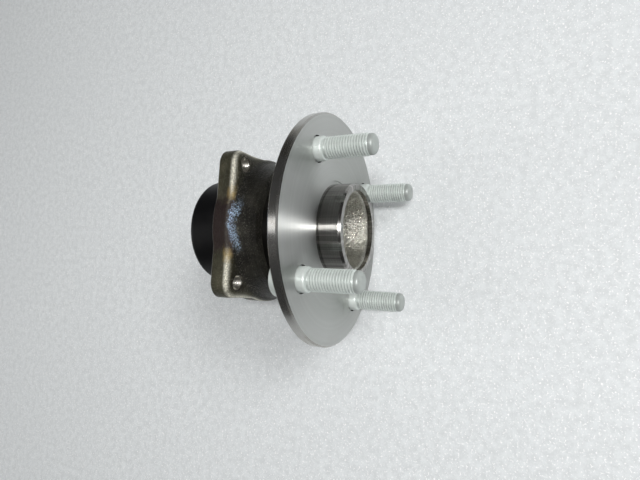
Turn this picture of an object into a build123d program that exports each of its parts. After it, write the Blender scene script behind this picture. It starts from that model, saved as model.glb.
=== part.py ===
from build123d import *
import os
from math import acos, cos, degrees, hypot, pi, radians, sin, tan

# Non-driven wheel hub bearing: a flanged hub that turns in a forged outer ring on two rows of
# balls. All lengths are in millimetres. The spin axis is Y: the wheel bolts on at the outboard
# end (-Y), the outer ring bolts to the axle at the inboard end (+Y). The origin is the centre of
# the wheel seating face, and a station "y" is a distance inboard of that face.

# ---------------------------------------------------------------- driving dimensions
# Wheel flange
flange_margin = 17.2        # from the stud circle to the rim
rim_thickness = 5.8         # flange thickness at its rim
web_thickness = 9.0         # flange thickness where the studs are pressed in
rim_bevel = 0.9             # turned bevels on both rim edges
rim_width = 6.7             # thinner edge outside the web
neck_d = 73.0               # the raised neck behind the web, facing the outer ring
neck_y = 11.0               # station of the neck's flat face
neck_fillet = 4.0           # from the neck down to the seal land

# Wheel studs, M12 x 1.5
stud_circle_d = 100.0
stud_count = 4
stud_rest_angle = 36.5      # first stud, from +X towards +Z, in degrees
stud_thread_d = 11.8
stud_knurl_d = 14.2
stud_shoulder_d = 13.4
stud_shoulder_height = 4.2  # how far the shoulder runs out past the wheel face
stud_length = 33.0          # from the wheel face to the tip
stud_nose_d = 10.0
stud_nose_height = 3.4
stud_nose_round = 2.0
stud_pitch = 1.5            # M12 x 1.5
stud_root_gap = 0.05        # the thread's root stands this far outside the nose
stud_head_d = 19.0
stud_head_height = 5.0
stud_mouth_d = 14.9         # relief at the mouth of each stud hole
stud_mouth_depth = 1.2

# Wheel pilot and the forged recess inside it
pilot_d = 53.8
pilot_height = 13.6
pilot_lead = 0.7            # lead-in chamfer, across the radius
pilot_lead_height = 1.5
relief_width = 2.0          # turned relief in the wheel face round the pilot
relief_depth = 0.5
pilot_bore_d = 45.8         # short machined bore at the pilot's mouth
pilot_bore_depth = 2.6
recess_step = 1.0           # the forged wall starts this far inside the bore
recess_draft = 14.0         # degrees
recess_floor_y = 9.5        # station of the recess floor
recess_round = 8.0          # between the recess wall and floor

# Ball rows
ball_d = 11.112
ball_count = 12
ball_circle_d = 51.0
row_1_y = 24.0              # outboard row
row_spacing = 22.0
race_clearance = 0.3        # between ball and raceway
seal_land_d = 50.0          # ground land on the hub, and the shoulder of the inner ring
outer_shoulder = 3.356      # height of the land between the two outer raceways

# Hub shaft, inner ring and nut
shoulder_y = 35.0           # the inner ring seats against the hub here
shaft_d = 32.0
inner_ring_width = 21.0
shaft_thread_d = 22.0
shaft_undercut = 1.0        # the seat stops this short of the inner ring's end
nut_flange_d = 40.0
nut_flange_height = 3.0
nut_across_flats = 32.0
nut_hex_height = 10.0
nut_collar_d = 27.0
nut_collar_height = 3.5
shaft_tip = 1.0             # shaft past the nut collar
edge_break = 0.8            # small turned chamfers
stake_width = 4.0           # slot in the shaft, and the dent staked into it
stake_depth = 2.0

# Outer ring
ring_front_gap = 1.5        # running gap between the hub's neck and the outer ring
ring_nose_wall = 3.8        # turned nose of the outer ring, outside the seal bore
ring_nose_length = 16.0
ring_body_step = 3.5        # the forged body stands this far out from the nose
body_flare_y = 34.0         # the body starts to flare towards the flange
boss_swell = 2.0            # the round boss stands this far out of the flange's flat sides
boss_fillet = 4.0
mount_face_y = 56.2         # face that seats on the axle
mount_flange_thickness = 12.6
bolt_spacing = 67.0         # square pattern of M10 x 1.25 threaded holes
side_margin = 8.5           # from the hole centres to the flat sides
bolt_minor_d = 8.8
bolt_mouth_d = 10.4
outline_round = 8.0         # blends lobes, flat sides and boss
flange_edge_round = 5.2     # forged edge, outboard side
flange_edge_bevel = 0.8     # turned edge, seating side
spigot_wall = 3.0           # outside the rear cap
spigot_height = 6.0
seal_bore_step = 0.844      # the seal bore opens this far from the raceway
seal_bore_depth = 5.5

# Seal and rear cap
seal_clearance = 0.3        # between the lips and the turning hub
seal_setback = 0.2
seal_case_thickness = 0.8
seal_case_depth = 4.6
seal_lip_height = 3.8       # from the seal land up to the case
seal_tip = 0.5              # width of a lip where it runs on the land
seal_tip_pitch = 1.7        # between the two lips that run on the land
seal_lip_root = 0.7         # width of a lip where it leaves the heel
seal_side_reach = 1.6       # the side lip leans out this far
cap_d = 64.0
cap_end_y = 84.0
cap_wall = 1.2
cap_seat = 6.8              # length pressed into the outer ring
cap_round = 4.0
cap_dish_d = 42.0
cap_dish_depth = 1.6

# Cages
pocket_clearance = 0.25
cage_width = 3.0            # across the radius
cage_gap = 1.0              # inside the outer land
cage_back = 1.8             # solid ring behind the balls
cage_horn = 2.2             # how far the horns reach past the ball centres

# ---------------------------------------------------------------- values worked out from these
flange_r = stud_circle_d / 2 + flange_margin
web_r = flange_r - rim_width
neck_r = neck_d / 2
pilot_r = pilot_d / 2
pilot_bore_r = pilot_bore_d / 2
shaft_r = shaft_d / 2
shaft_thread_r = shaft_thread_d / 2
seal_land_r = seal_land_d / 2
land_start_y = neck_y + neck_fillet
ball_r = ball_d / 2
ball_circle_r = ball_circle_d / 2
groove_r = ball_r + race_clearance
groove_floor_r = ball_circle_r - groove_r
groove_roof_r = ball_circle_r + groove_r
row_2_y = row_1_y + row_spacing
inner_ring_end_y = shoulder_y + inner_ring_width
nut_flange_y = inner_ring_end_y + nut_flange_height
nut_hex_y = nut_flange_y + nut_hex_height
nut_end_y = nut_hex_y + nut_collar_height
shaft_end_y = nut_end_y + shaft_tip
ring_front_y = neck_y + ring_front_gap
ring_nose_y = ring_front_y + ring_nose_length
mount_flange_y = mount_face_y - mount_flange_thickness
spigot_end_y = mount_face_y + spigot_height
seal_bore_r = groove_roof_r + seal_bore_step
outer_land_r = groove_roof_r - outer_shoulder
ring_nose_r = seal_bore_r + ring_nose_wall
ring_body_r = ring_nose_r + ring_body_step
mount_flange_width = bolt_spacing + 2 * side_margin
boss_r = mount_flange_width / 2 + boss_swell
cap_r = cap_d / 2
spigot_r = cap_r + spigot_wall
cage_outer_r = outer_land_r - cage_gap
cage_inner_r = cage_outer_r - cage_width

# Angles where the raceway arcs meet their shoulders, about a ball centre
inner_shoulder_angle = degrees(acos((ball_circle_r - seal_land_r) / groove_r))
outer_shoulder_angle = degrees(acos((outer_land_r - ball_circle_r) / groove_r))


def station(y):
    """Plane square to the spin axis at a station, facing outboard, with its y along +Z."""
    return Plane.XZ.offset(-y)


def around(circle_r, angle):
    """Point in X and Z on a circle about the spin axis, the angle from +X towards +Z."""
    return circle_r * cos(radians(angle)), circle_r * sin(radians(angle))


def save(piece, name):
    """Label a finished piece and write it to its own STEP file."""
    piece.label = name
    export_step(piece, f"parts/{name}.step")


# ---------------------------------------------------------------- hub
def recess_section():
    """Half section of the hollow in the pilot: a short machined bore, then the forged wall."""
    mouth_y = -pilot_height
    bore_end_y = mouth_y + pilot_bore_depth
    forged_r = pilot_bore_r - recess_step
    forged_y = bore_end_y + recess_step / 2
    floor_r = forged_r - (recess_floor_y - forged_y) * tan(radians(recess_draft))
    with BuildSketch(Plane.XY) as section:
        with BuildLine():
            Polyline(
                (0, mouth_y),
                (pilot_bore_r, mouth_y),
                (pilot_bore_r, bore_end_y),
                (forged_r, forged_y),
                (floor_r, recess_floor_y),
                (0, recess_floor_y),
                close=True,
            )
        make_face()
        floor_corner = section.vertices().group_by(Axis.Y)[-1].sort_by(Axis.X)[-1]
        fillet(floor_corner, recess_round)
    return section.sketch


def make_wheel_hub():
    tip_y = -pilot_height
    seat_end_y = inner_ring_end_y - shaft_undercut
    with BuildPart() as hub:
        with BuildSketch(Plane.XY) as profile:
            with BuildLine():
                Polyline(
                    (0, tip_y),
                    (pilot_r - pilot_lead, tip_y),
                    (pilot_r, tip_y + pilot_lead_height),
                    (pilot_r, relief_depth),
                    (pilot_r + relief_width, relief_depth),
                    (pilot_r + relief_width, 0),
                    (flange_r - rim_bevel, 0),
                    (flange_r, rim_bevel),
                    (flange_r, rim_thickness - rim_bevel),
                    (flange_r - rim_bevel, rim_thickness),
                    (web_r, web_thickness),
                    (neck_r + neck_y - web_thickness, web_thickness),
                    (neck_r, neck_y),
                    (seal_land_r + neck_fillet, neck_y),
                )
                CenterArc((seal_land_r + neck_fillet, land_start_y), neck_fillet, -90, -90)
                Line(
                    (seal_land_r, land_start_y),
                    (seal_land_r, row_1_y - groove_r * sin(radians(inner_shoulder_angle))),
                )
                CenterArc(
                    (ball_circle_r, row_1_y),
                    groove_r,
                    180 + inner_shoulder_angle,
                    -inner_shoulder_angle,
                )
                Polyline(
                    (groove_floor_r, row_1_y),
                    (groove_floor_r, shoulder_y),
                    (shaft_r, shoulder_y),
                    (shaft_r, seat_end_y),
                    (shaft_thread_r, seat_end_y + edge_break / 2),
                    (shaft_thread_r, shaft_end_y - edge_break),
                    (shaft_thread_r - edge_break, shaft_end_y),
                    (0, shaft_end_y),
                    (0, tip_y),
                )
            make_face()
        revolve(axis=Axis.Y)
        revolve(recess_section(), axis=Axis.Y, mode=Mode.SUBTRACT)
        with Locations(station(0)):
            with PolarLocations(stud_circle_d / 2, stud_count, stud_rest_angle):
                CounterBoreHole(stud_knurl_d / 2, stud_mouth_d / 2, stud_mouth_depth, web_thickness)
        # slot along the threaded end, for staking the nut
        slot_start_y = nut_hex_y
        with BuildSketch(station(shaft_end_y)):
            with Locations((0, shaft_thread_r)):
                Rectangle(stake_width, 2 * stake_depth)
        extrude(amount=shaft_end_y - slot_start_y, mode=Mode.SUBTRACT)
    save(hub.part, "wheel_hub")


def thread_section(major_r, root_r, start_y, end_y):
    """Points down one side of a thread, drawn as ring grooves with flat crests and roots."""
    flat = stud_pitch / 8
    groove_count = int((start_y - end_y) / stud_pitch)
    points = []
    for groove in range(groove_count):
        top_y = start_y - groove * stud_pitch
        points.append((major_r, top_y))
        points.append((major_r, top_y - flat))
        points.append((root_r, top_y - stud_pitch / 2))
        points.append((root_r, top_y - stud_pitch / 2 - flat))
    points.append((major_r, start_y - groove_count * stud_pitch))
    points.append((major_r, end_y))
    return points


def make_wheel_stud(number):
    x, z = around(stud_circle_d / 2, stud_rest_angle + (number - 1) * 360 / stud_count)
    thread_r = stud_thread_d / 2
    shoulder_r = stud_shoulder_d / 2
    knurl_r = stud_knurl_d / 2
    head_r = stud_head_d / 2
    nose_r = stud_nose_d / 2
    head_end_y = web_thickness + stud_head_height
    nose_y = -stud_length + stud_nose_height
    thread_end_y = nose_y + (thread_r - nose_r)
    thread = thread_section(thread_r, nose_r + stud_root_gap, -stud_shoulder_height, thread_end_y)
    with BuildPart() as stud:
        with BuildSketch(Plane.XY.move(Location((x, 0, z)))) as profile:
            with BuildLine():
                Polyline(
                    (0, head_end_y),
                    (head_r - edge_break, head_end_y),
                    (head_r, head_end_y - edge_break),
                    (head_r, web_thickness),
                    (knurl_r, web_thickness),
                    (knurl_r, stud_mouth_depth),
                    (shoulder_r, stud_mouth_depth - (knurl_r - shoulder_r)),
                    (shoulder_r, -stud_shoulder_height + (shoulder_r - thread_r)),
                    *thread,
                    (nose_r, nose_y),
                    (nose_r, -stud_length),
                    (0, -stud_length),
                    (0, head_end_y),
                )
            make_face()
            tip_corner = profile.vertices().group_by(Axis.Y)[0].sort_by(Axis.X)[-1]
            fillet(tip_corner, stud_nose_round)
            shoulder = profile.vertices().filter_by(lambda v: abs(v.X - shoulder_r) < 0.01)
            fillet(shoulder.sort_by(Axis.Y)[0], (shoulder_r - thread_r) / 2)
        revolve(axis=Axis((x, 0, z), (0, 1, 0)))
    save(stud.part, f"wheel_stud_{number}")


def make_inner_ring():
    with BuildPart() as ring:
        with BuildSketch(Plane.XY):
            with BuildLine():
                Line((groove_floor_r - edge_break, shoulder_y), (groove_floor_r, shoulder_y + edge_break))
                Line((groove_floor_r, shoulder_y + edge_break), (groove_floor_r, row_2_y))
                CenterArc((ball_circle_r, row_2_y), groove_r, 180, -inner_shoulder_angle)
                Polyline(
                    (seal_land_r, row_2_y + groove_r * sin(radians(inner_shoulder_angle))),
                    (seal_land_r, inner_ring_end_y - edge_break),
                    (seal_land_r - edge_break, inner_ring_end_y),
                    (shaft_r, inner_ring_end_y),
                    (shaft_r, shoulder_y),
                    (groove_floor_r - edge_break, shoulder_y),
                )
            make_face()
        revolve(axis=Axis.Y)
    save(ring.part, "inner_ring")


def make_hub_nut():
    hex_corner_r = nut_across_flats / 2 / cos(pi / 6)
    collar_r = nut_collar_d / 2
    with BuildPart() as nut:
        with BuildSketch(station(nut_flange_y)):
            Circle(nut_flange_d / 2)
        extrude(amount=nut_flange_height)
        with BuildSketch(station(nut_hex_y)):
            RegularPolygon(nut_across_flats / 2, 6, major_radius=False)
        extrude(amount=nut_hex_height)
        with BuildSketch(station(nut_end_y)):
            Circle(collar_r)
        extrude(amount=nut_collar_height)
        # turned profile that bevels the flange and the hexagon's corners
        with BuildSketch(Plane.XY):
            with BuildLine():
                Polyline(
                    (shaft_thread_r, inner_ring_end_y),
                    (nut_flange_d / 2, inner_ring_end_y),
                    (nut_flange_d / 2, nut_flange_y - edge_break),
                    (hex_corner_r, nut_flange_y),
                    (hex_corner_r, nut_hex_y - 2 * edge_break),
                    (nut_across_flats / 2 - edge_break, nut_hex_y),
                    (collar_r, nut_hex_y),
                    (collar_r, nut_end_y),
                    (shaft_thread_r, nut_end_y),
                    close=True,
                )
            make_face()
        revolve(axis=Axis.Y, mode=Mode.INTERSECT)
        # the collar is dented into the slot in the shaft
        with BuildSketch(station(nut_end_y)):
            with Locations((0, collar_r)):
                Circle(stake_width / 2)
        extrude(amount=nut_collar_height, mode=Mode.SUBTRACT)
        with BuildSketch(station(nut_end_y)):
            with Locations((0, shaft_thread_r - stake_depth / 2 + (collar_r - shaft_thread_r) / 4)):
                Rectangle(stake_width - edge_break, stake_depth)
        extrude(amount=nut_collar_height)
    save(nut.part, "hub_nut")


# ---------------------------------------------------------------- outer ring
def flange_outline():
    """Square with a round lobe at each bolt, flat sides and the boss swelling out of them."""
    with BuildSketch(station(spigot_end_y)) as outline:
        Rectangle(mount_flange_width, bolt_spacing)
        Rectangle(bolt_spacing, mount_flange_width)
        Circle(boss_r)
        with GridLocations(bolt_spacing, bolt_spacing, 2, 2):
            Circle(side_margin)
        fillet(outline.vertices(), outline_round)
    return outline.sketch


def make_outer_ring():
    disc_r = hypot(bolt_spacing, bolt_spacing) / 2 + 2 * side_margin
    cap_bore_y = spigot_end_y - cap_seat - edge_break
    with BuildPart() as ring:
        with BuildSketch(Plane.XY) as profile:
            with BuildLine():
                Polyline(
                    (seal_bore_r + edge_break, ring_front_y),
                    (ring_nose_r - edge_break, ring_front_y),
                    (ring_nose_r, ring_front_y + edge_break),
                    (ring_nose_r, ring_nose_y),
                    (ring_body_r, ring_nose_y + (ring_body_r - ring_nose_r) / 2),
                    (ring_body_r, body_flare_y),
                    (boss_r - boss_fillet / 2, mount_flange_y),
                    (disc_r, mount_flange_y),
                    (disc_r, mount_face_y),
                    (spigot_r, mount_face_y),
                    (spigot_r, spigot_end_y - edge_break),
                    (spigot_r - edge_break, spigot_end_y),
                    (cap_r, spigot_end_y),
                    (cap_r, cap_bore_y),
                    (groove_roof_r, cap_bore_y - (cap_r - groove_roof_r)),
                    (groove_roof_r, row_2_y),
                )
                CenterArc((ball_circle_r, row_2_y), groove_r, 0, -outer_shoulder_angle)
                land_inset = groove_r * sin(radians(outer_shoulder_angle))
                Line((outer_land_r, row_2_y - land_inset), (outer_land_r, row_1_y + land_inset))
                CenterArc(
                    (ball_circle_r, row_1_y), groove_r, outer_shoulder_angle, -outer_shoulder_angle
                )
                Polyline(
                    (groove_roof_r, row_1_y),
                    (groove_roof_r, ring_front_y + seal_bore_depth + edge_break),
                    (seal_bore_r, ring_front_y + seal_bore_depth),
                    (seal_bore_r, ring_front_y + edge_break),
                    (seal_bore_r + edge_break, ring_front_y),
                )
            make_face()
            root = profile.vertices().filter_by(
                lambda v: abs(v.X - (boss_r - boss_fillet / 2)) < 0.01 and v.Y > body_flare_y
            )
            fillet(root, boss_fillet)
        revolve(axis=Axis.Y)
        extrude(flange_outline(), amount=spigot_end_y - ring_front_y, mode=Mode.INTERSECT)
        rims = ring.edges().filter_by(
            lambda e: hypot(e.center().X, e.center().Z) > mount_flange_width / 2
        )
        fillet(
            rims.filter_by(lambda e: body_flare_y < e.center().Y < mount_flange_y + 0.1),
            flange_edge_round,
        )
        seat_rim = ring.edges().filter_by(
            lambda e: hypot(e.center().X, e.center().Z) > spigot_r + 1
            and abs(e.center().Y - mount_face_y) < 0.01
        )
        chamfer(seat_rim, flange_edge_bevel)
        with Locations(Plane(origin=(0, mount_face_y, 0), x_dir=(1, 0, 0), z_dir=(0, 1, 0))):
            with GridLocations(bolt_spacing, bolt_spacing, 2, 2):
                CounterSinkHole(bolt_minor_d / 2, bolt_mouth_d / 2, counter_sink_angle=90)
    save(ring.part, "outer_ring")


# ---------------------------------------------------------------- balls and cages
def make_ball(row_name, row_y, number):
    x, z = around(ball_circle_r, (number - 1) * 360 / ball_count)
    with BuildPart() as ball:
        with Locations((x, row_y, z)):
            Sphere(ball_r)
    save(ball.part, f"{row_name}_ball_{number:02d}")


def make_cage(row_name, row_y, inward):
    """Crown cage: a ring on the side towards the bearing's middle, with a pocket for each ball."""
    pocket_r = ball_r + pocket_clearance
    back_y = row_y + inward * (pocket_r + cage_back)
    horn_y = row_y - inward * cage_horn
    with BuildPart() as cage:
        with BuildSketch(Plane.XY):
            with BuildLine():
                Polyline(
                    (cage_inner_r, horn_y),
                    (cage_outer_r, horn_y),
                    (cage_outer_r, back_y),
                    (cage_inner_r, back_y),
                    close=True,
                )
            make_face()
        revolve(axis=Axis.Y)
        with Locations(station(row_y)):
            with PolarLocations(ball_circle_r, ball_count):
                Sphere(pocket_r, mode=Mode.SUBTRACT)
    save(cage.part, f"{row_name}_cage")


# ---------------------------------------------------------------- seal and rear cap
def make_seal():
    web_y = ring_front_y + seal_setback
    web_end_y = web_y + seal_case_thickness
    heel_r = seal_land_r + seal_lip_height
    with BuildPart() as case:
        with BuildSketch(Plane.XY):
            with BuildLine():
                Polyline(
                    (heel_r, web_y),
                    (seal_bore_r, web_y + edge_break),
                    (seal_bore_r, web_y + seal_case_depth),
                    (seal_bore_r - seal_case_thickness, web_y + seal_case_depth),
                    (seal_bore_r - seal_case_thickness, web_end_y + edge_break),
                    (heel_r, web_end_y),
                    close=True,
                )
            make_face()
        revolve(axis=Axis.Y)
    save(case.part, "seal_case")

    tip_r = seal_land_r + seal_clearance
    side_tip_y = neck_y + seal_clearance
    tip_y = land_start_y + seal_setback
    crotch_r = (tip_r + heel_r) / 2
    with BuildPart() as lips:
        with BuildSketch(Plane.XY):
            with BuildLine():
                Polyline(
                    (heel_r, web_end_y),
                    (heel_r, web_y),
                    (heel_r + seal_side_reach, side_tip_y),
                    (heel_r + seal_side_reach - seal_tip, side_tip_y),
                    (heel_r - 2 * seal_lip_root, web_y),
                    (tip_r, tip_y),
                    (tip_r, tip_y + seal_tip),
                    (crotch_r, web_end_y + seal_lip_root),
                    (tip_r, tip_y + seal_tip_pitch),
                    (tip_r, tip_y + seal_tip_pitch + seal_tip),
                    (heel_r - seal_lip_root, web_end_y + 2 * seal_lip_root),
                    close=True,
                )
            make_face()
        revolve(axis=Axis.Y)
    save(lips.part, "seal_lips")


def make_rear_cap():
    rim_y = spigot_end_y - cap_seat
    inner_r = cap_r - cap_wall
    dish_r = cap_dish_d / 2
    with BuildPart() as cap:
        with BuildSketch(Plane.XY) as profile:
            with BuildLine():
                Polyline(
                    (0, cap_end_y - cap_dish_depth),
                    (dish_r - cap_dish_depth, cap_end_y - cap_dish_depth),
                    (dish_r, cap_end_y),
                    (cap_r, cap_end_y),
                    (cap_r, rim_y),
                    (inner_r, rim_y),
                    (inner_r, cap_end_y - cap_wall),
                    (dish_r + cap_wall / 2, cap_end_y - cap_wall),
                    (dish_r - cap_dish_depth + cap_wall / 2, cap_end_y - cap_dish_depth - cap_wall),
                    (0, cap_end_y - cap_dish_depth - cap_wall),
                    close=True,
                )
            make_face()
            corners = profile.vertices().filter_by(lambda v: v.Y > cap_end_y - cap_wall - 0.01)
            fillet(corners.filter_by(lambda v: v.X > cap_r - 0.01), cap_round)
            fillet(corners.filter_by(lambda v: abs(v.X - inner_r) < 0.01), cap_round - cap_wall)
        revolve(axis=Axis.Y)
    save(cap.part, "rear_cap")


os.makedirs("parts", exist_ok=True)
make_wheel_hub()
for stud_number in range(1, stud_count + 1):
    make_wheel_stud(stud_number)
make_inner_ring()
make_hub_nut()
make_outer_ring()
make_seal()
make_rear_cap()
for row, row_station, toward_middle in (("outboard", row_1_y, 1), ("inboard", row_2_y, -1)):
    make_cage(row, row_station, toward_middle)
    for ball_number in range(1, ball_count + 1):
        make_ball(row, row_station, ball_number)
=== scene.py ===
import math

import bmesh
import bpy
from mathutils import Matrix, Vector, noise

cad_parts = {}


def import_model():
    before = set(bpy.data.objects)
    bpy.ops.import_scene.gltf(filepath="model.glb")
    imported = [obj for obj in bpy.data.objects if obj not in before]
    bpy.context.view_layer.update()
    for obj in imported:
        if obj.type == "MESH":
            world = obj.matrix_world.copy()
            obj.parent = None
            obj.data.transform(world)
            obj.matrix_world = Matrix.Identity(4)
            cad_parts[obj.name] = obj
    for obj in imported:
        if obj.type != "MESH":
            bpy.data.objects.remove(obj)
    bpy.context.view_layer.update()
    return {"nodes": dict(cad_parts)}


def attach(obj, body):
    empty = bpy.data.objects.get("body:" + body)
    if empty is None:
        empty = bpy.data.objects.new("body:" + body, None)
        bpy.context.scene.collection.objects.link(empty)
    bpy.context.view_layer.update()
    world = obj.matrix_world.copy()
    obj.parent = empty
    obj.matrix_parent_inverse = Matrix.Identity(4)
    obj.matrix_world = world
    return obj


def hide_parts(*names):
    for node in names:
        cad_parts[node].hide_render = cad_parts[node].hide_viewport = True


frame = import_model()
nodes = frame["nodes"]
scene = bpy.context.scene
scene.view_settings.view_transform = "Standard"

MM = 0.001
STUD_COUNT, STUD_CIRCLE_R, STUD_REST_ANGLE = 4, 50, 36.5
HOLE_HALF_SPACING = 33.5


# ------------------------------------------------------------------ camera
def fitted_camera():
    """Pinhole camera fitted to the photograph: focal length in pixels, place of the wheel face, tilt and turn."""
    focal_px, width_px, sensor_mm = 454.16, 640, 36.0
    place = Vector((9.95, -5.54, 265.77)) * MM
    tilt, roll, turn = math.radians(26.02), math.radians(0.35), math.radians(-6.1)
    out = Vector((math.cos(tilt), 0, -math.sin(tilt)))
    up = Vector((0, -1, 0))
    side = out.cross(up)
    rolled = Matrix.Rotation(roll, 3, "Z")
    out, up, side = rolled @ out, rolled @ up, rolled @ side
    x_axis = math.cos(turn) * up + math.sin(turn) * side
    z_axis = -math.sin(turn) * up + math.cos(turn) * side
    y_axis = -out
    to_row = Matrix((x_axis, y_axis, z_axis))
    data = bpy.data.cameras.new("camera")
    data.sensor_width = sensor_mm
    data.lens = focal_px / width_px * sensor_mm
    data.clip_start, data.clip_end = 0.01, 20
    camera = bpy.data.objects.new("camera", data)
    turned = to_row @ Matrix(((1, 0, 0), (0, -1, 0), (0, 0, -1)))
    camera.matrix_world = Matrix.Translation(-(to_row @ place)) @ turned.to_4x4()
    scene.collection.objects.link(camera)
    scene.camera = camera
    return camera


camera = fitted_camera()
cam_place = camera.matrix_world.translation.copy()
cam_right, cam_up, cam_back = (camera.matrix_world.to_3x3().col[i].copy() for i in range(3))


# ------------------------------------------------------------------ material helper
class Nodes:
    """Short hand for building one material's node tree."""

    def __init__(self, name):
        self.material = bpy.data.materials.new(name)
        self.material.use_nodes = True
        self.tree = self.material.node_tree
        self.shader = self.tree.nodes["Principled BSDF"]
        self.place = self.make("ShaderNodeTexCoord").outputs["Object"]
        parts = self.make("ShaderNodeSeparateXYZ")
        self.link(self.place, parts.inputs[0])
        self.x, self.y, self.z = parts.outputs
        self.radius = self.math("SQRT", self.add(self.mul(self.x, self.x), self.mul(self.z, self.z)))

    def make(self, kind, **facts):
        node = self.tree.nodes.new(kind)
        for key, value in facts.items():
            setattr(node, key, value)
        return node

    def link(self, a, b):
        self.tree.links.new(a, b)

    def put(self, value, socket):
        if isinstance(value, bpy.types.NodeSocket):
            self.link(value, socket)
        else:
            socket.default_value = value

    def math(self, operation, *values):
        node = self.make("ShaderNodeMath", operation=operation)
        for value, socket in zip(values, node.inputs):
            self.put(value, socket)
        return node.outputs[0]

    def add(self, a, b):
        return self.math("ADD", a, b)

    def mul(self, a, b):
        return self.math("MULTIPLY", a, b)

    def ramp(self, value, low, high, out_low=0.0, out_high=1.0):
        """Smooth step of a value from low to high."""
        node = self.make("ShaderNodeMapRange", interpolation_type="SMOOTHSTEP")
        for v, i in ((value, 0), (low, 1), (high, 2), (out_low, 3), (out_high, 4)):
            self.put(v, node.inputs[i])
        return node.outputs[0]

    def band(self, value, low, high, soft):
        """1 between low and high, with soft edges."""
        rise = self.ramp(value, low - soft, low + soft)
        fall = self.ramp(value, high - soft, high + soft, 1.0, 0.0)
        return self.mul(rise, fall)

    def stretch(self, sx, sy, sz):
        """Object coordinates scaled by a factor along each axis."""
        node = self.make("ShaderNodeMapping", vector_type="POINT")
        node.inputs["Scale"].default_value = (sx, sy, sz)
        self.link(self.place, node.inputs["Vector"])
        return node.outputs[0]

    def rings(self):
        """Coordinates that vary with radius and station only, for turned marks."""
        node = self.make("ShaderNodeCombineXYZ")
        self.put(self.radius, node.inputs[0])
        self.put(self.y, node.inputs[1])
        return node.outputs[0]

    def spokes(self):
        """Coordinates that vary with the angle about the spin axis only, for marks that run along it."""
        node = self.make("ShaderNodeCombineXYZ")
        self.put(self.math("DIVIDE", self.x, self.radius), node.inputs[0])
        self.put(self.math("DIVIDE", self.z, self.radius), node.inputs[2])
        return node.outputs[0]

    def noise(self, scale, detail=4.0, rough=0.55, where=None):
        node = self.make("ShaderNodeTexNoise")
        node.inputs["Scale"].default_value = scale
        node.inputs["Detail"].default_value = detail
        node.inputs["Roughness"].default_value = rough
        self.link(where or self.place, node.inputs["Vector"])
        return node.outputs["Fac"]

    def cells(self, scale):
        """Distance to the nearest of many scattered points."""
        node = self.make("ShaderNodeTexVoronoi")
        node.inputs["Scale"].default_value = scale
        self.link(self.place, node.inputs["Vector"])
        return node.outputs["Distance"]

    def mix(self, amount, a, b):
        """From colour a to colour b by amount."""
        node = self.make("ShaderNodeMix", data_type="RGBA")
        self.put(amount, node.inputs[0])
        for value, socket in ((a, node.inputs[6]), (b, node.inputs[7])):
            self.put(value if isinstance(value, bpy.types.NodeSocket) else (*value, 1.0), socket)
        return node.outputs[2]

    def bump(self, height, distance, strength=1.0):
        node = self.make("ShaderNodeBump")
        node.inputs["Strength"].default_value = strength
        node.inputs["Distance"].default_value = distance
        self.link(height, node.inputs["Height"])
        return node.outputs[0]

    def set(self, **values):
        names = {"color": "Base Color", "rough": "Roughness", "metal": "Metallic", "normal": "Normal",
                 "aniso": "Anisotropic", "turn": "Anisotropic Rotation", "tangent": "Tangent",
                 "specular": "Specular IOR Level"}
        for key, value in values.items():
            self.put(value, self.shader.inputs[names[key]])
        return self.material

    def turned(self, aniso):
        """Stretch highlights as fine grooves round the spin axis do."""
        node = self.make("ShaderNodeTangent", direction_type="RADIAL", axis="Y")
        self.set(aniso=aniso, turn=0.25, tangent=node.outputs[0])


# ------------------------------------------------------------------ metals
def wheel_face_steel():
    """Fine turned face: grooves round the axis, wide faint rings and a little warm staining."""
    n = Nodes("turned_face")
    rings = n.rings()
    fine = n.noise(5200, 3, 0.7, rings)
    wide = n.noise(420, 4, 0.6, rings)
    stain = n.noise(38, 5, 0.6)
    color = n.mix(n.ramp(wide, 0.35, 0.68), (0.54, 0.548, 0.532), (0.575, 0.582, 0.566))
    color = n.mix(n.ramp(stain, 0.55, 0.78, 0.0, 0.35), color, (0.56, 0.548, 0.525))
    rough = n.add(n.ramp(fine, 0.3, 0.7, 0.37, 0.42), n.ramp(stain, 0.5, 0.75, 0.0, 0.03))
    n.turned(1.0)
    return n.set(color=color, rough=rough, metal=1.0, normal=n.bump(fine, 0.00001, 0.35))


def rim_steel():
    """Ground rim with faint tarnish."""
    n = Nodes("ground_rim")
    lines = n.noise(3600, 3, 0.7, n.rings())
    tarnish = n.noise(46, 4, 0.6)
    color = n.mix(n.ramp(tarnish, 0.42, 0.7), (0.46, 0.452, 0.435), (0.29, 0.27, 0.23))
    rough = n.add(n.ramp(lines, 0.3, 0.7, 0.18, 0.25), n.ramp(tarnish, 0.4, 0.7, 0.0, 0.06))
    n.turned(0.6)
    return n.set(color=color, rough=rough, metal=1.0, normal=n.bump(lines, 0.00001, 0.4))


def pilot_steel():
    """Polished pilot with turned lines, and light and dark drag marks along the axis."""
    n = Nodes("polished_pilot")
    lines = n.noise(1500, 4, 0.75, n.rings())
    drag = n.noise(11.0, 4, 0.65, n.spokes())
    color = n.mix(n.ramp(lines, 0.4, 0.62), (0.29, 0.282, 0.27), (0.36, 0.35, 0.336))
    color = n.mix(n.ramp(drag, 0.54, 0.60, 0.0, 0.7), color, (0.60, 0.575, 0.55))
    color = n.mix(n.ramp(drag, 0.40, 0.46, 0.6, 0.0), color, (0.13, 0.124, 0.118))
    rough = n.ramp(lines, 0.35, 0.7, 0.16, 0.23)
    n.turned(0.45)
    return n.set(color=color, rough=rough, metal=1.0, normal=n.bump(lines, 0.000006, 0.4))


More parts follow.
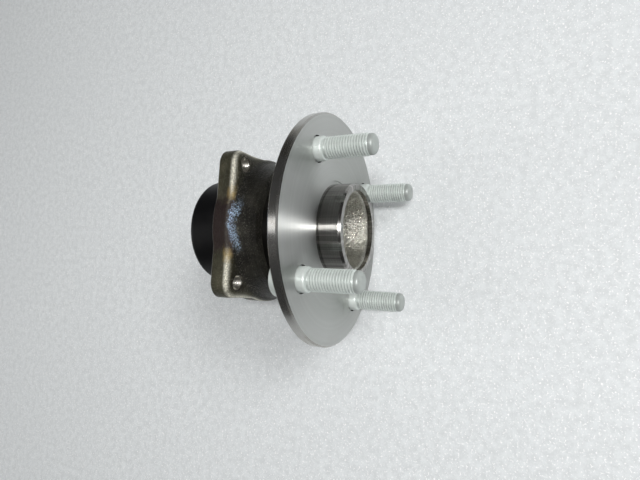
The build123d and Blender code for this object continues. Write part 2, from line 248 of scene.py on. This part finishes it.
def recess_forging():
    """Rough forged bowl: a coarse grain of bright and dark specks over warm grey scale."""
    n = Nodes("forged_recess")
    coarse = n.cells(560)
    fine = n.noise(1300, 5, 0.7)
    broad = n.noise(140, 4, 0.6)
    color = n.mix(n.ramp(broad, 0.35, 0.7), (0.42, 0.41, 0.36), (0.58, 0.57, 0.51))
    color = n.mix(n.ramp(fine, 0.56, 0.64, 0.0, 0.9), color, (0.96, 0.95, 0.88))
    color = n.mix(n.ramp(fine, 0.36, 0.46, 0.9, 0.0), color, (0.08, 0.075, 0.062))
    height = n.add(n.mul(coarse, -1.0), n.mul(fine, 0.9))
    rough = n.ramp(fine, 0.3, 0.7, 0.38, 0.24)
    return n.set(color=color, rough=rough, metal=0.95, normal=n.bump(height, 0.00040))


def web_steel():
    """Back of the wheel flange and neck: coarser turned steel with an oil film."""
    n = Nodes("turned_web")
    lines = n.noise(2100, 4, 0.75, n.rings())
    film = n.noise(60, 4, 0.6)
    color = n.mix(n.ramp(film, 0.4, 0.72), (0.36, 0.345, 0.32), (0.235, 0.215, 0.18))
    rough = n.add(n.ramp(lines, 0.3, 0.7, 0.27, 0.36), n.ramp(film, 0.4, 0.7, 0.0, 0.07))
    n.turned(0.5)
    return n.set(color=color, rough=rough, metal=1.0, normal=n.bump(lines, 0.00003, 0.5))


def relief_painted_shade():
    """Near-black steel down in the stud reliefs: painted shade for the dark crescents round the studs."""
    n = Nodes("relief_painted_shade")
    film = n.noise(700, 4, 0.6)
    color = n.mix(n.ramp(film, 0.35, 0.7), (0.02, 0.019, 0.017), (0.06, 0.056, 0.05))
    rough = n.ramp(film, 0.3, 0.7, 0.4, 0.6)
    return n.set(color=color, rough=rough, metal=0.5, normal=n.bump(film, 0.00004, 0.5))


def bearing_steel():
    """Ground bearing steel."""
    n = Nodes("bearing_steel")
    lines = n.noise(900, 3, 0.6)
    color = n.mix(n.ramp(lines, 0.35, 0.7), (0.60, 0.60, 0.60), (0.68, 0.68, 0.67))
    rough = n.ramp(lines, 0.3, 0.7, 0.07, 0.13)
    return n.set(color=color, rough=rough, metal=1.0, normal=n.bump(lines, 0.000004, 0.3))


def forged_housing():
    """Oxide scale on a forging with a sparkly grain, a painted highlight along the ridge, painted shade on the
    body, and temper colours on one side.
    """
    n = Nodes("forged_oxide")
    broad = n.noise(75, 5, 0.62)
    grain = n.noise(1500, 4, 0.75)
    pits = n.cells(800)
    # painted shade: the body between the flange and the wheel flange gets the near-black colour, the flange the
    # olive one
    dark = n.mix(n.ramp(broad, 0.33, 0.68), (0.010, 0.009, 0.007), (0.034, 0.032, 0.025))
    olive = n.mix(n.ramp(broad, 0.33, 0.68), (0.048, 0.045, 0.027), (0.105, 0.098, 0.063))
    color = n.mix(n.ramp(n.y, 0.0425, 0.0450), dark, olive)
    flecks = n.mul(n.ramp(grain, 0.57, 0.68, 0.0, 0.8), n.ramp(n.y, 0.036, 0.0445, 0.4, 1.0))
    color = n.mix(flecks, color, (0.46, 0.44, 0.37))
    # painted highlight: the flange's rounding towards the wheel is painted bright cream on the long sides, where
    # the highlight runs along the ridge
    side = n.math("MAXIMUM", n.math("ABSOLUTE", n.x), n.math("ABSOLUTE", n.z))
    ridge_painted_highlight = n.mul(n.band(n.y, 0.0452, 0.0472, 0.0012), n.ramp(side, 0.0370, 0.0405))
    color = n.mix(n.mul(ridge_painted_highlight, n.ramp(grain, 0.38, 0.58, 0.35, 1.0)), color, (0.92, 0.89, 0.76))
    # temper colours across the middle of the side that faces +Z: brown, then straw at its ends, then blue
    wander = n.ramp(n.noise(190, 4, 0.7), 0.25, 0.75, -0.003, 0.003)
    across = n.math("ABSOLUTE", n.add(n.add(n.x, 0.0018), wander))
    near = n.ramp(n.z, 0.030, 0.036)
    middle = n.mul(n.ramp(across, 0.010, 0.020, 1.0, 0.0), near)
    brown = n.mul(middle, n.ramp(n.y, 0.0425, 0.0440, 0.0, 0.9))
    color = n.mix(brown, color, (0.034, 0.021, 0.021))
    bent = n.add(n.add(n.y, n.mul(across, 0.26)), n.mul(wander, 0.5))
    ends = n.mul(n.band(across, 0.014, 0.019, 0.003), n.band(n.y, 0.0440, 0.0485, 0.0010))
    straw = n.mul(ends, near)
    color = n.mix(n.mul(straw, 0.6), color, (0.46, 0.33, 0.12))
    speck = n.ramp(n.noise(1700, 3, 0.7), 0.50, 0.58, 0.02, 1.0)
    arc = n.mul(n.ramp(across, 0.006, 0.0165, 1.0, 0.0), n.band(bent, 0.0430, 0.0462, 0.0012))
    blue = n.mul(arc, near)
    color = n.mix(n.mul(blue, speck), color, (0.55, 0.74, 0.98))
    height = n.add(n.mul(grain, 0.9), n.mul(pits, -0.6))
    rough = n.add(n.ramp(grain, 0.35, 0.7, 0.36, 0.48), n.ramp(broad, 0.3, 0.7, -0.03, 0.06))
    return n.set(color=color, rough=rough, metal=0.65, normal=n.bump(height, 0.00040))


def machined_housing():
    """Turned seat, spigot and bores of the outer ring."""
    n = Nodes("machined_ring")
    lines = n.noise(2300, 4, 0.75, n.rings())
    film = n.noise(50, 4, 0.6)
    color = n.mix(n.ramp(film, 0.4, 0.7), (0.30, 0.29, 0.27), (0.19, 0.175, 0.145))
    rough = n.ramp(lines, 0.3, 0.7, 0.26, 0.36)
    n.turned(0.5)
    return n.set(color=color, rough=rough, metal=1.0, normal=n.bump(lines, 0.00003, 0.5))


def ring_nose_painted_shade():
    """Turned nose of the outer ring, painted nearly black as painted shade from the disc."""
    n = Nodes("ring_nose_painted_shade")
    lines = n.noise(1900, 4, 0.7, n.rings())
    film = n.noise(90, 4, 0.6)
    color = n.mix(n.ramp(film, 0.4, 0.7), (0.010, 0.009, 0.008), (0.026, 0.024, 0.020))
    rough = n.ramp(lines, 0.3, 0.7, 0.32, 0.45)
    return n.set(color=color, rough=rough, metal=0.8, normal=n.bump(lines, 0.00003, 0.5))


def thread_steel():
    """Freshly tapped thread in the forging."""
    n = Nodes("tapped_steel")
    grain = n.noise(2600, 3, 0.6)
    color = n.mix(n.ramp(grain, 0.35, 0.7), (0.62, 0.60, 0.55), (0.78, 0.76, 0.70))
    rough = n.ramp(grain, 0.3, 0.7, 0.24, 0.36)
    return n.set(color=color, rough=rough, metal=1.0, normal=n.bump(grain, 0.00002, 0.4))


def stud_zinc(name, shade):
    """Matt zinc flake coating, slightly green, with its colours scaled by a shade."""
    def shaded(*color):
        return tuple(part * shade for part in color)

    n = Nodes(name)
    flakes = n.cells(5200)
    cloud = n.noise(260, 4, 0.6)
    color = n.mix(n.ramp(cloud, 0.35, 0.7), shaded(0.76, 0.815, 0.78), shaded(0.83, 0.885, 0.85))
    color = n.mix(n.ramp(flakes, 0.05, 0.6, 0.0, 0.22), color, shaded(0.42, 0.45, 0.43))
    rough = n.ramp(cloud, 0.3, 0.7, 0.40, 0.46)
    return n.set(color=color, rough=rough, metal=0.35, specular=0.15, normal=n.bump(flakes, 0.000006, 0.5))


def nut_zinc():
    """Dull zinc on the hub nut."""
    n = Nodes("nut_zinc")
    cloud = n.noise(300, 4, 0.6)
    color = n.mix(n.ramp(cloud, 0.35, 0.7), (0.40, 0.40, 0.37), (0.52, 0.52, 0.48))
    rough = n.ramp(cloud, 0.3, 0.7, 0.3, 0.42)
    return n.set(color=color, rough=rough, metal=0.9, normal=n.bump(cloud, 0.00003, 0.4))


def seal_steel():
    """Pressed case of the seal."""
    n = Nodes("seal_case_steel")
    lines = n.noise(1700, 3, 0.6, n.rings())
    color = n.mix(n.ramp(lines, 0.35, 0.7), (0.18, 0.175, 0.165), (0.27, 0.26, 0.245))
    rough = n.ramp(lines, 0.3, 0.7, 0.3, 0.42)
    return n.set(color=color, rough=rough, metal=1.0, normal=n.bump(lines, 0.00002, 0.4))


# ------------------------------------------------------------------ paint, rubber and plastic
def black_cap():
    """Black electrophoretic coat over pressed steel, with a little dust."""
    n = Nodes("black_coat")
    peel = n.noise(900, 3, 0.5)
    dust = n.noise(70, 6, 0.7)
    color = n.mix(n.ramp(dust, 0.5, 0.8, 0.0, 0.6), (0.003, 0.003, 0.0034), (0.011, 0.0106, 0.010))
    rough = n.add(n.ramp(dust, 0.4, 0.8, 0.36, 0.55), n.ramp(peel, 0.3, 0.7, 0.0, 0.05))
    return n.set(color=color, rough=rough, metal=0.0, specular=0.18, normal=n.bump(peel, 0.00002, 0.5))


def seal_rubber():
    """Dusty black rubber of the seal lips."""
    n = Nodes("nitrile_rubber")
    grain = n.noise(1600, 4, 0.6)
    dust = n.noise(150, 5, 0.65)
    color = n.mix(n.ramp(dust, 0.5, 0.8, 0.0, 0.5), (0.018, 0.018, 0.018), (0.05, 0.048, 0.045))
    rough = n.ramp(grain, 0.3, 0.7, 0.48, 0.6)
    return n.set(color=color, rough=rough, metal=0.0, normal=n.bump(grain, 0.00003, 0.5))


def cage_nylon():
    """Natural glass-filled nylon, its fibres crowded along the spin axis."""
    n = Nodes("filled_nylon")
    fibres = n.noise(1400, 5, 0.7, n.stretch(1, 3, 1))
    color = n.mix(n.ramp(fibres, 0.35, 0.7), (0.60, 0.54, 0.38), (0.72, 0.67, 0.51))
    rough = n.ramp(fibres, 0.3, 0.7, 0.42, 0.55)
    return n.set(color=color, rough=rough, metal=0.0, normal=n.bump(fibres, 0.00003, 0.5))


# ------------------------------------------------------------------ dress the CAD nodes
def dress(obj, materials, choose=None):
    """Give a node its materials, each face by the rule choose(centre) -> index."""
    mesh = obj.data
    mesh.materials.clear()
    for material in materials:
        mesh.materials.append(material)
    for polygon in mesh.polygons:
        polygon.material_index = choose(polygon.center) if choose else 0


def stud_place(index):
    """Where a stud stands across the spin axis, as x and z in mm."""
    angle = math.radians(STUD_REST_ANGLE + 90 * index)
    return STUD_CIRCLE_R * math.cos(angle), STUD_CIRCLE_R * math.sin(angle)


stud_places = [stud_place(index) for index in range(STUD_COUNT)]
FACE, RIM, PILOT, RECESS, WEB, RELIEF_SHADE = range(6)
FORGED, MACHINED, RING_NOSE_SHADE = range(3)
COATED, GROOVE_SHADE, NOSE_SHADE = range(3)


def hub_zone(centre):
    """Which steel a face of the hub has; sizes in mm."""
    x, y, z = (part / MM for part in centre)
    r = math.hypot(x, z)
    if y > 9.2 and r < 34:
        return WEB
    # painted shade: faces down in the stud reliefs get the near-black steel
    if y > 0.03 and min(math.hypot(x - sx, z - sz) for sx, sz in stud_places) < 7.47:
        return RELIEF_SHADE
    if r < (22.85 if y < -11.1 else 23.1) and y > -13.55:
        return RECESS
    if r < 28.2 and y < -0.3:
        return PILOT
    if y < 0.55 and r < 66.3:
        return FACE
    if r > 60 and y < 6.0:
        return RIM
    return WEB


def ring_zone(centre):
    """Which steel a face of the outer ring has; sizes in mm."""
    x, y, z = (part / MM for part in centre)
    r = math.hypot(x, z)
    # painted shade: the nose under the disc gets the near-black steel
    if y < 28.8 and r < 36.3:
        return RING_NOSE_SHADE
    if y > 55.6 or r < 31.5:
        return MACHINED
    if y > 44.5 and math.hypot(abs(x) - HOLE_HALF_SPACING, abs(z) - HOLE_HALF_SPACING) < 5.35:
        return MACHINED
    return FORGED


hub_steels = [wheel_face_steel(), rim_steel(), pilot_steel(), recess_forging(), web_steel(), relief_painted_shade()]
ring_steels = [forged_housing(), machined_housing(), ring_nose_painted_shade()]
# the second and third coats are darker copies of the same zinc: painted shade in the thread grooves and on the
# smooth nose
stud_coats = [stud_zinc("zinc_flake", 1.0), stud_zinc("zinc_groove_painted_shade", 0.80), stud_zinc("zinc_nose_painted_shade", 0.62)]
ball_steel = bearing_steel()
nylon = cage_nylon()
dress(nodes["wheel_hub"], hub_steels, hub_zone)
dress(nodes["outer_ring"], ring_steels, ring_zone)
for name, material in {
    "inner_ring": ball_steel, "hub_nut": nut_zinc(), "rear_cap": black_cap(),
    "seal_case": seal_steel(), "seal_lips": seal_rubber(),
}.items():
    dress(nodes[name], [material])
for name, obj in nodes.items():
    if name.endswith("_cage"):
        dress(obj, [nylon])
    elif "_ball_" in name:
        dress(obj, [ball_steel])


# ------------------------------------------------------------------ threads
def link_piece(name, bm, materials, body):
    """Make a smooth-shaded piece of a mesh and let it ride on a body."""
    mesh = bpy.data.meshes.new(name)
    bmesh.ops.recalc_face_normals(bm, faces=bm.faces)
    bm.to_mesh(mesh)
    bm.free()
    for material in materials:
        mesh.materials.append(material)
    mesh.shade_smooth()
    obj = bpy.data.objects.new(name, mesh)
    scene.collection.objects.link(obj)
    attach(obj, body)
    return obj


def ring_row(x, y, z, radii):
    """A closed row of points about an axis parallel to the spin axis, one for each radius; sizes in mm."""
    row = []
    for i, radius in enumerate(radii):
        phi = 2 * math.pi * (i / len(radii))
        row.append(Vector((x + radius * math.cos(phi), y, z + radius * math.sin(phi))) * MM)
    return row


def sweep_rows(bm, rows):
    """Quads between rows of as many points each, every row closed on itself."""
    made = [[bm.verts.new(p) for p in row] for row in rows]
    steps = len(made[0])
    for lower, upper in zip(made, made[1:]):
        for i in range(steps):
            j = (i + 1) % steps
            bm.faces.new((lower[i], lower[j], upper[j], upper[i]))
    return made


def thread_form(station, pitch, turn, flat, flank):
    """0 to 1 over the flank of a helical thread, at a station and a share of a turn."""
    t = (station / pitch - turn) % 1.0
    return min(1.0, max(0.0, (abs(t - 0.5) * 2 - flat) / flank))


def thread_stations(start, end, gap=0.125):
    """Evenly spaced stations along a thread."""
    count = int((end - start) / gap)
    return [start + (end - start) * k / count for k in range(count + 1)]


def stud_piece(number):
    """A stud with a real helical thread: head and knurl behind the face, shoulder, thread and rounded nose."""
    steps, pitch = 64, 1.5
    thread_from, thread_to = 4.9, 28.8
    minor_r, major_r = 5.08, 5.95
    knurl_deep = 0.25
    head = ((-14.0, 8.6), (-14.0, 9.2), (-13.7, 9.5), (-9.6, 9.5), (-9.0, 9.3))
    knurl = ((-9.0, 7.1), (-1.2, 7.1))
    shoulder = ((-1.2, 6.7), (-0.4, 6.7), (3.2, 6.7), (3.9, 6.62), (4.3, 6.3), (4.45, 5.35), (4.7, 5.1))
    nose = ((29.0, 5.72), (29.12, 5.5), (29.35, 5.42), (29.55, 5.5), (30.9, 5.5), (31.4, 5.36), (32.0, 4.95),
            (32.5, 4.35), (32.85, 3.6), (33.0, 2.7))
    x, z = stud_places[number - 1]

    def threaded(s):
        fade = min(1.0, (s - thread_from) / 1.2) * min(1.0, max(0.0, (thread_to + 0.4 - s) / 0.9))
        return [minor_r + (major_r - minor_r) * thread_form(s, pitch, i / steps, 0.10, 0.52) * fade
                for i in range(steps)]

    rows = [ring_row(x, -s, z, [r] * steps) for s, r in head]
    rows += [ring_row(x, -s, z, [r - knurl_deep * (i % 2) for i in range(steps)]) for s, r in knurl]
    rows += [ring_row(x, -s, z, [r] * steps) for s, r in shoulder]
    rows += [ring_row(x, -s, z, threaded(s)) for s in thread_stations(thread_from, thread_to)]
    rows += [ring_row(x, -s, z, [r] * steps) for s, r in nose]
    bm = bmesh.new()
    made = sweep_rows(bm, rows)
    bm.faces.new(made[0])
    bm.faces.new(made[-1])
    obj = link_piece(f"stud_{number}_threaded", bm, stud_coats, "hub")
    for polygon in obj.data.polygons:
        station = -polygon.center.y / MM
        reach = math.hypot(polygon.center.x / MM - x, polygon.center.z / MM - z)
        # painted shade: the nose and the faces down in the thread grooves get darker copies of the zinc
        if station > 29.3:
            polygon.material_index = NOSE_SHADE
        elif 4.3 < station < 28.9 and reach < 5.52:
            polygon.material_index = GROOVE_SHADE
        else:
            polygon.material_index = COATED
    obj.data.set_sharp_from_angle(angle=math.radians(38))
    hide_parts(f"wheel_stud_{number}")


def hole_thread(name, x, z, material):
    """The helical thread inside one of the mounting flange's holes, with its crests cut off at the bore."""
    steps, pitch = 48, 1.25
    minor_r, major_r, bore_r = 4.1, 4.72, 4.36
    rows = []
    for y in thread_stations(44.4, 55.2):
        forms = [thread_form(y, pitch, i / steps, 0.14, 0.7) for i in range(steps)]
        rows.append(ring_row(x, y, z, [min(major_r - (major_r - minor_r) * form, bore_r) for form in forms]))
    bm = bmesh.new()
    sweep_rows(bm, rows)
    link_piece(name, bm, [material], "housing")


# ------------------------------------------------------------------ rough skin of the forged recess
def recess_skin(material):
    """The forged bowl inside the pilot, with its lumps and pits as real relief."""
    steps, pitch = 280, 0.45
    draft = math.radians(14)
    mouth, wall_top, wall_foot = (22.86, -11.05), (21.9, -10.5), (18.425, 3.435)
    corner_r, corner_y, corner_round, corner_parts = 10.663, 1.5, 8, 24
    floor_start, floor_end = (10.663, 9.5), (1.6, 9.5)
    outline = []

    def run(start, end, normal):
        """Points from start up to end, as radius, station and the way in which the relief stands out."""
        parts = max(1, round(math.hypot(end[0] - start[0], end[1] - start[1]) / pitch))
        for k in range(parts):
            t = k / parts
            outline.append((start[0] + (end[0] - start[0]) * t, start[1] + (end[1] - start[1]) * t, normal))

    run(mouth, wall_top, (-0.5, -0.87))
    run(wall_top, wall_foot, (-math.cos(draft), -math.sin(draft)))
    for k in range(corner_parts):
        a = draft + (math.pi / 2 - draft) * k / corner_parts
        outline.append((corner_r + corner_round * math.cos(a), corner_y + corner_round * math.sin(a),
                        (-math.cos(a), -math.sin(a))))
    run(floor_start, floor_end, (0, -1))
    rows = []
    for j, (r, y, normal) in enumerate(outline):
        row = []
        fade = min(1.0, j / 5)
        for i in range(steps):
            phi = 2 * math.pi * i / steps
            p = Vector((r * math.cos(phi), y, r * math.sin(phi)))
            lump = noise.fractal(p * 0.5, 1.0, 2.0, 3) * 0.17 + noise.noise(p * 1.6) * 0.10
            out = 0.03 + (0.20 + max(-0.17, min(0.26, lump))) * fade
            rr, yy = r + normal[0] * out, y + normal[1] * out
            row.append(Vector((rr * math.cos(phi), yy, rr * math.sin(phi))) * MM)
        rows.append(row)
    bm = bmesh.new()
    made = sweep_rows(bm, rows)
    bm.faces.new(made[-1])
    link_piece("recess_skin", bm, [material], "hub")


# ------------------------------------------------------------------ floor and light
def foam_floor():
    """Pale sheet of packing foam under the flange's rim, pearly, with fine sparkles painted as white specks."""
    n = Nodes("foam_floor")
    pearl = n.noise(200, 5, 0.68)
    pad = n.noise(9, 3, 0.5)
    glint_specks = n.noise(760, 3, 0.6)
    color = n.mix(n.ramp(pearl, 0.34, 0.66), (0.69, 0.715, 0.72), (0.80, 0.828, 0.835))
    color = n.mix(n.ramp(pad, 0.3, 0.7, 0.0, 0.25), color, (0.72, 0.745, 0.755))
    # painted glints: small white specks for the foam's sparkles
    color = n.mix(n.ramp(glint_specks, 0.59, 0.63), color, (1.0, 1.0, 1.0))
    return n.set(color=color, rough=0.6, metal=0.0, normal=n.bump(pearl, 0.0006, 0.3))


def floor():
    low = min(v.co.z for v in nodes["wheel_hub"].data.vertices)
    bm = bmesh.new()
    bmesh.ops.create_grid(bm, x_segments=8, y_segments=8, size=4.0)
    mesh = bpy.data.meshes.new("floor")
    bm.to_mesh(mesh)
    bm.free()
    mesh.materials.append(foam_floor())
    obj = bpy.data.objects.new("floor", mesh)
    obj.location.z = low - 0.0002
    scene.collection.objects.link(obj)


def area_light(name, place, aim, size_x, size_y, power, mirrored=True):
    """A rectangular lamp; one that isn't mirrored lights the object without showing in its metal."""
    data = bpy.data.lights.new(name, "AREA")
    data.shape = "RECTANGLE"
    data.size, data.size_y = size_x, size_y
    data.energy = power
    obj = bpy.data.objects.new(name, data)
    obj.location = place
    obj.rotation_mode = "QUATERNION"
    obj.rotation_quaternion = (aim - place).to_track_quat("-Z", "Y")
    obj.visible_glossy = mirrored
    scene.collection.objects.link(obj)


def world(strength):
    made = bpy.data.worlds.new("studio")
    made.use_nodes = True
    background = made.node_tree.nodes["Background"]
    background.inputs["Color"].default_value = (1.0, 1.0, 1.0, 1.0)
    background.inputs["Strength"].default_value = strength
    scene.world = made


for number in range(1, STUD_COUNT + 1):
    stud_piece(number)
tapped = thread_steel()
for index, (side_x, side_z) in enumerate(((1, 1), (-1, 1), (-1, -1), (1, -1))):
    hole_thread(f"hole_thread_{index + 1}", HOLE_HALF_SPACING * side_x, HOLE_HALF_SPACING * side_z, tapped)
recess_skin(hub_steels[RECESS])
floor()
world(0.07)

centre = Vector((0, 0.02, 0))
outboard = Vector((0, -1, 0))
toward_camera = (cam_back - outboard * cam_back.dot(outboard)).normalized()
key_place = (cam_place + cam_up * 0.033) * 4.0
soft_place = centre + cam_back * 3.2 + cam_right * 1.1 + cam_up * 1.4
overhead_place = centre + (toward_camera * 0.9 - outboard * 0.44 + cam_up * 0.07) * 1.2
area_light("key", key_place, centre, 0.12, 0.30, 7.4)
area_light("soft_top", soft_place, centre, 1.3, 1.3, 56.0, mirrored=False)
area_light("rear_fill", Vector((-0.3, 1.7, 0.9)), centre, 0.9, 0.9, 4.0)
area_light("overhead", overhead_place, centre, 0.22, 0.35, 0.6)
